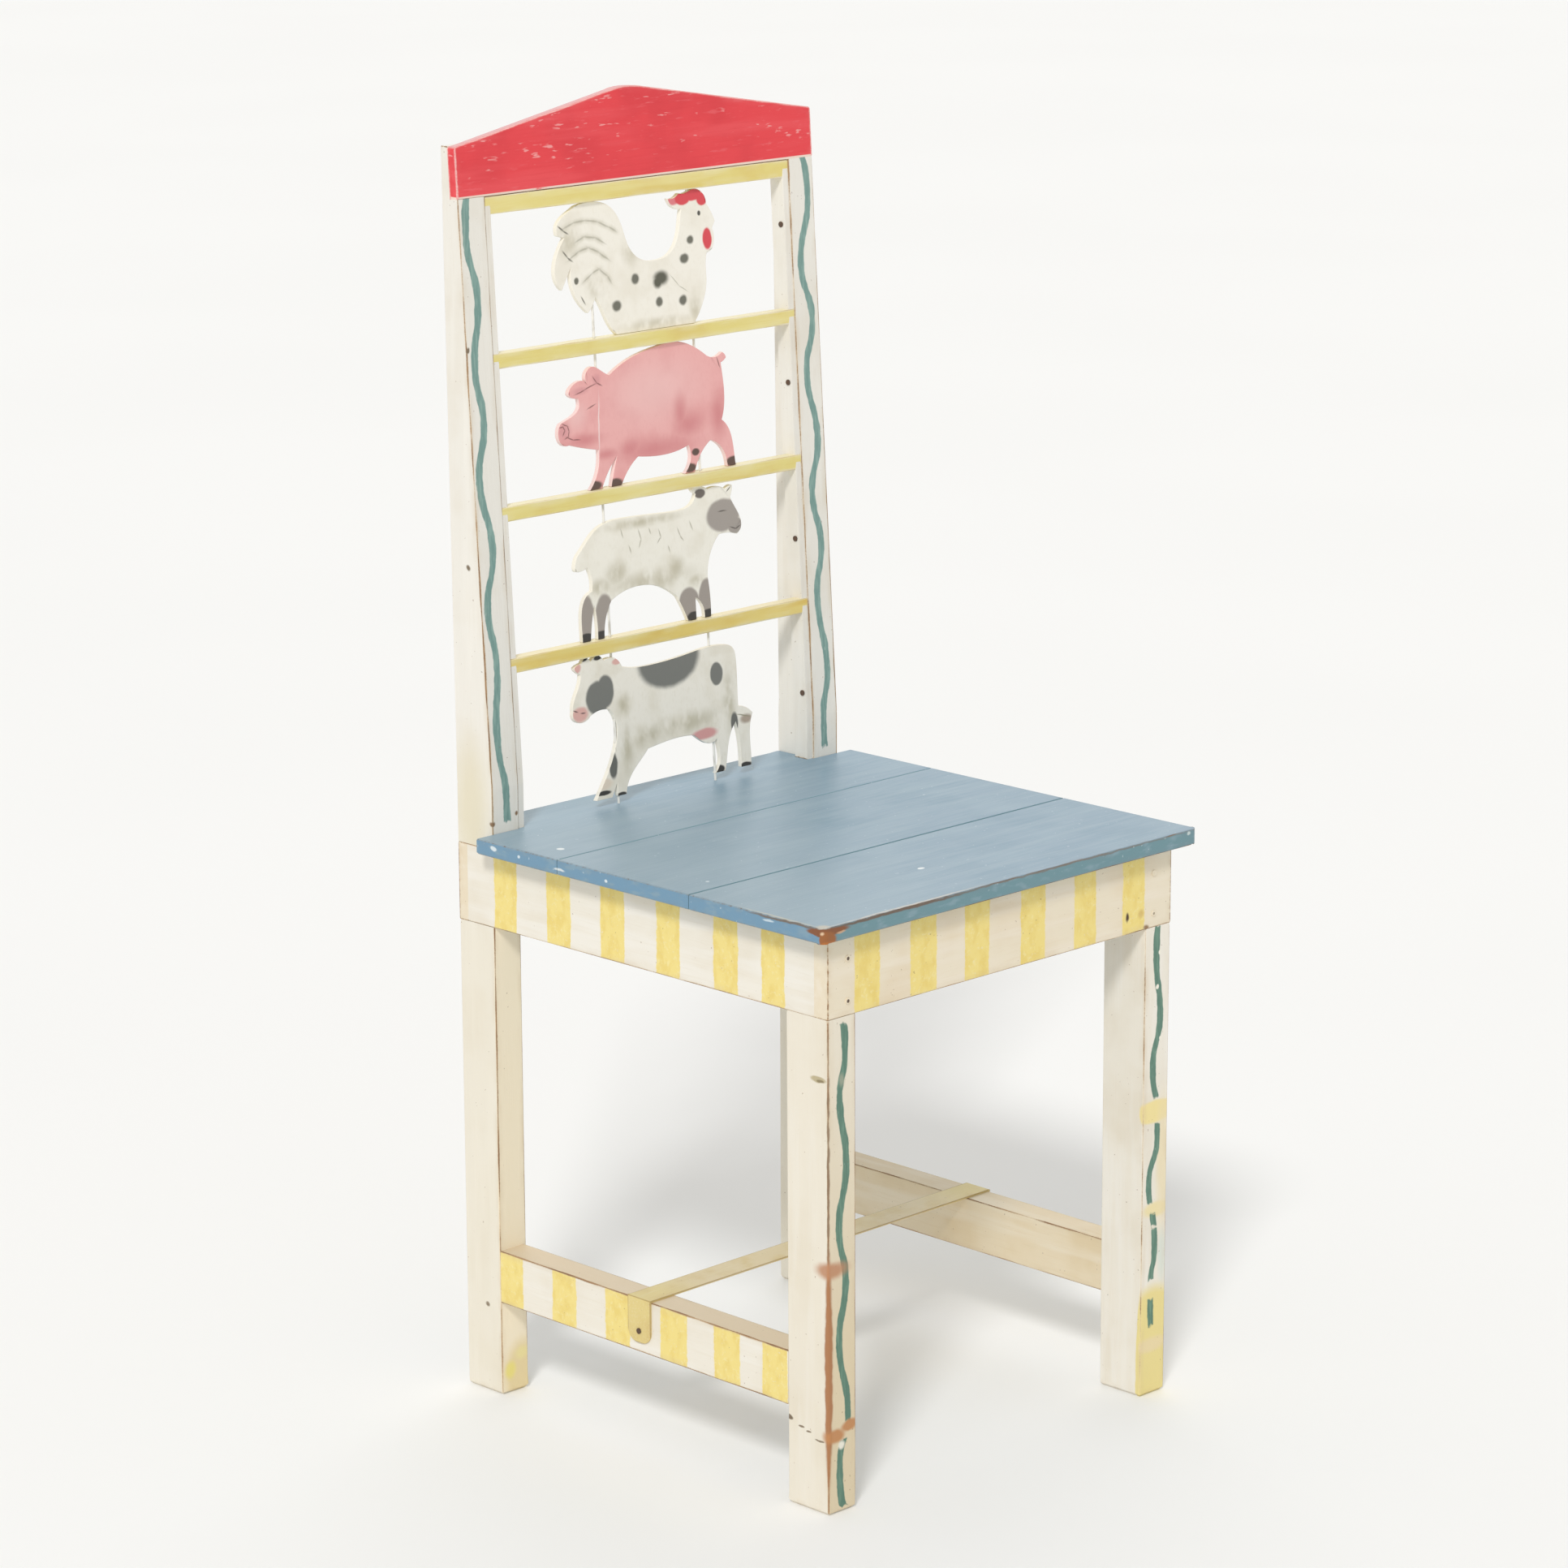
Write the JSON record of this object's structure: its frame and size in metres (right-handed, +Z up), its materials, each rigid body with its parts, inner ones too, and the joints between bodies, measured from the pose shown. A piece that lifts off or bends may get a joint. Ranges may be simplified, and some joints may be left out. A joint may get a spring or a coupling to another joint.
{
  "type": "folk art chair",
  "caption": "Painted wooden side chair with a raked ladder back of farm animal cut-outs, a gabled crest board, a plank seat and low stretchers.",
  "frame": {"origin": "on the floor, at the centre of the bounding box", "axes": "+Z up, -Y towards the front of the chair, +X towards the right of someone who looks at its front"},
  "size_m": [0.409, 0.417, 1.01],
  "materials": {
    "cream_wood": "brushed cream paint with yellow stripes, worn at the edges",
    "blue_wood": "satin blue paint",
    "red_wood": "rubbed red paint",
    "yellow_wood": "brushed yellow paint",
    "white_wood": "hand-painted off-white",
    "pink_wood": "hand-painted pink",
    "yellow_strap": "brushed yellow paint over flat steel",
    "white_wire": "off-white painted wire",
    "nail_steel": "dark rusted steel"
  },
  "bodies": {
    "root": {"left_back_post": "cream_wood", "right_back_post": "cream_wood", "left_front_leg": "cream_wood", "right_front_leg": "cream_wood", "front_apron": "cream_wood", "back_apron": "cream_wood", "left_apron": "cream_wood", "right_apron": "cream_wood", "left_stretcher": "cream_wood", "right_stretcher": "cream_wood", "stretcher_strap": "yellow_strap", "seat_front_board": "blue_wood", "seat_middle_board": "blue_wood", "seat_back_board": "blue_wood", "crest_board": "red_wood", "left_stile": "cream_wood", "right_stile": "cream_wood", "slat_1": "yellow_wood", "slat_2": "yellow_wood", "slat_3": "yellow_wood", "slat_4": "yellow_wood", "rooster_figure": "white_wood", "pig_figure": "pink_wood", "sheep_figure": "white_wood", "cow_figure": "white_wood", "left_figure_rod": "white_wire", "right_figure_rod": "white_wire", "apron_nails": "nail_steel", "stile_nails": "nail_steel", "strap_nails": "nail_steel"}
  },
  "joints": []
}
